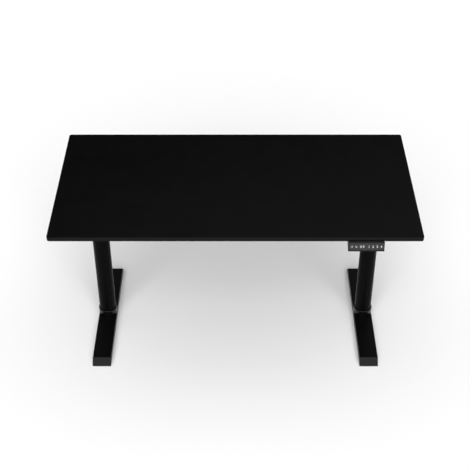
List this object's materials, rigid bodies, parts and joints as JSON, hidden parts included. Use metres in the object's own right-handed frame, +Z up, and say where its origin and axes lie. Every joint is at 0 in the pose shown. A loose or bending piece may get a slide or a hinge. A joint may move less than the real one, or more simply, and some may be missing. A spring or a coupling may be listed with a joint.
{
  "type": "height adjustable standing desk",
  "caption": "Sit-stand desk with a dark rectangular worktop on round telescopic columns and flat bar feet, raised by hidden spindle motors and set from a keypad under the front edge.",
  "frame": {"origin": "on the floor, under the middle of the worktop; the worktop is centred on it and the keypad reaches 14 mm further forward", "axes": "+X to the user's right, +Y away from the user, +Z up; the user stands on the -Y side"},
  "size_m": [1.4, 0.714, 0.716],
  "materials": {
    "worktop": "black laminate on particle board, fine matt texture",
    "foot_paint": "black powder coat, fine texture",
    "column_paint": "black powder coat, satin",
    "inner_column_paint": "black powder coat, satin, smooth for sliding",
    "frame_paint": "black powder coat, fine texture",
    "skirt_plastic": "black moulded plastic, half gloss",
    "bush_plastic": "black slide plastic",
    "bolt_steel": "zinc plated steel",
    "plain_steel": "drawn steel, lightly greased",
    "bearing_steel": "ground steel",
    "nut_plastic": "natural slide plastic",
    "glide_plastic": "black hard plastic pad on a threaded stud",
    "pad_rubber": "black rubber",
    "cast_metal": "die cast, as cast",
    "motor_steel": "zinc plated deep drawn can",
    "rotor_steel": "laminations, shaft and worm",
    "box_plastic": "black moulded plastic, fine texture",
    "lid_metal": "black coated steel sheet",
    "circuit_green": "circuit board with its parts",
    "inlet_plastic": "black moulded plastic with plated pins",
    "handset_plastic": "black moulded plastic",
    "handset_face": "dark grey front panel",
    "handset_glass": "smoked window over white digits",
    "key_plastic": "dark grey key cap with a pale symbol",
    "cable_sleeve": "black cable sheath"
  },
  "bodies": {
    "left_base": {"left_foot_beam": "foot_paint", "left_column_bolts": "bolt_steel", "left_outer_tube": "column_paint", "left_column_skirt": "skirt_plastic", "left_top_bush": "bush_plastic", "left_push_tube": "plain_steel", "left_drive_nut": "nut_plastic"},
    "upper_frame": {"cable_clips": "pad_rubber", "control_box_circuit": "circuit_green", "control_box_lid": "lid_metal", "control_box_shell": "box_plastic", "frame_bolts": "bolt_steel", "front_crossbar": "frame_paint", "gearbox_bearings": "bearing_steel", "gearbox_lids": "cast_metal", "handset_cable": "cable_sleeve", "handset_case": "handset_plastic", "handset_display": "handset_glass", "handset_panel": "handset_face", "head_covers": "frame_paint", "inner_tube_glides": "bush_plastic", "isolation_pads": "pad_rubber", "left_gearbox_housing": "cast_metal", "left_head_box": "frame_paint", "left_inner_tube": "inner_column_paint", "left_motor_can": "motor_steel", "left_side_arm": "frame_paint", "mains_inlet": "inlet_plastic", "motor_cables": "cable_sleeve", "rear_crossbar": "frame_paint", "right_gearbox_housing": "cast_metal", "right_head_box": "frame_paint", "right_inner_tube": "inner_column_paint", "right_motor_can": "motor_steel", "right_side_arm": "frame_paint", "tabletop": "worktop", "top_screws": "bolt_steel"},
    "right_base": {"right_foot_beam": "foot_paint", "right_column_bolts": "bolt_steel", "right_outer_tube": "column_paint", "right_column_skirt": "skirt_plastic", "right_top_bush": "bush_plastic", "right_push_tube": "plain_steel", "right_drive_nut": "nut_plastic"},
    "left_front_foot": {"left_front_glide": "glide_plastic"},
    "left_rear_foot": {"left_rear_glide": "glide_plastic"},
    "right_front_foot": {"right_front_glide": "glide_plastic"},
    "right_rear_foot": {"right_rear_glide": "glide_plastic"},
    "left_screw": {"left_spindle": "plain_steel", "left_worm_wheel": "nut_plastic"},
    "right_screw": {"right_spindle": "plain_steel", "right_worm_wheel": "nut_plastic"},
    "left_rotor": {"left_motor_rotor": "rotor_steel"},
    "right_rotor": {"right_motor_rotor": "rotor_steel"},
    "key_up_cap": {"key_up": "key_plastic"},
    "key_down_cap": {"key_down": "key_plastic"},
    "key_memory_1_cap": {"key_memory_1": "key_plastic"},
    "key_memory_2_cap": {"key_memory_2": "key_plastic"},
    "key_memory_3_cap": {"key_memory_3": "key_plastic"},
    "key_memory_4_cap": {"key_memory_4": "key_plastic"}
  },
  "joints": [
    {"name": "left_lift", "type": "slide", "parent": "left_base", "child": "upper_frame", "axis": [0, 0, 1], "range_m": [-0.04, 0.41]},
    {"name": "right_lift", "type": "slide", "parent": "upper_frame", "child": "right_base", "axis": [0, 0, -1], "range_m": [-0.04, 0.41]},
    {"name": "left_spindle_turn", "type": "hinge", "parent": "upper_frame", "child": "left_screw", "pos_m": [-0.555, 0, 0.626], "axis": [0, 0, 1], "range_deg": [-920, 9245]},
    {"name": "right_spindle_turn", "type": "hinge", "parent": "upper_frame", "child": "right_screw", "pos_m": [0.555, 0, 0.626], "axis": [0, 0, 1], "range_deg": [-920, 9245]},
    {"name": "left_rotor_turn", "type": "hinge", "parent": "upper_frame", "child": "left_rotor", "pos_m": [-0.555, 0.029, 0.658], "axis": [-1, 0, 0], "range_deg": [-10890, 110790]},
    {"name": "right_rotor_turn", "type": "hinge", "parent": "upper_frame", "child": "right_rotor", "pos_m": [0.555, 0.029, 0.658], "axis": [1, 0, 0], "range_deg": [-10890, 110790]},
    {"name": "left_front_level", "type": "slide", "parent": "left_base", "child": "left_front_foot", "axis": [0, 0, -1], "range_m": [0, 0.008]},
    {"name": "left_rear_level", "type": "slide", "parent": "left_base", "child": "left_rear_foot", "axis": [0, 0, -1], "range_m": [0, 0.008]},
    {"name": "right_front_level", "type": "slide", "parent": "right_base", "child": "right_front_foot", "axis": [0, 0, -1], "range_m": [0, 0.008]},
    {"name": "right_rear_level", "type": "slide", "parent": "right_base", "child": "right_rear_foot", "axis": [0, 0, -1], "range_m": [0, 0.008]},
    {"name": "key_up_press", "type": "slide", "parent": "upper_frame", "child": "key_up_cap", "axis": [0, 0.9825, -0.1864], "range_m": [0, 0.0008], "stiffness_N_per_m": 800, "springref_m": -0.001},
    {"name": "key_down_press", "type": "slide", "parent": "upper_frame", "child": "key_down_cap", "axis": [0, 0.9825, -0.1864], "range_m": [0, 0.0008], "stiffness_N_per_m": 800, "springref_m": -0.001},
    {"name": "key_memory_1_press", "type": "slide", "parent": "upper_frame", "child": "key_memory_1_cap", "axis": [0, 0.9825, -0.1864], "range_m": [0, 0.0008], "stiffness_N_per_m": 800, "springref_m": -0.001},
    {"name": "key_memory_2_press", "type": "slide", "parent": "upper_frame", "child": "key_memory_2_cap", "axis": [0, 0.9825, -0.1864], "range_m": [0, 0.0008], "stiffness_N_per_m": 800, "springref_m": -0.001},
    {"name": "key_memory_3_press", "type": "slide", "parent": "upper_frame", "child": "key_memory_3_cap", "axis": [0, 0.9825, -0.1864], "range_m": [0, 0.0008], "stiffness_N_per_m": 800, "springref_m": -0.001},
    {"name": "key_memory_4_press", "type": "slide", "parent": "upper_frame", "child": "key_memory_4_cap", "axis": [0, 0.9825, -0.1864], "range_m": [0, 0.0008], "stiffness_N_per_m": 800, "springref_m": -0.001}
  ],
  "couplings": [
    {"joint": "right_lift", "follows": "left_lift", "ratio": 1},
    {"joint": "left_spindle_turn", "follows": "left_lift", "rad_per_m": 392.7},
    {"joint": "right_spindle_turn", "follows": "left_lift", "rad_per_m": 392.7},
    {"joint": "left_rotor_turn", "follows": "left_lift", "rad_per_m": 4712.4},
    {"joint": "right_rotor_turn", "follows": "left_lift", "rad_per_m": 4712.4}
  ]
}
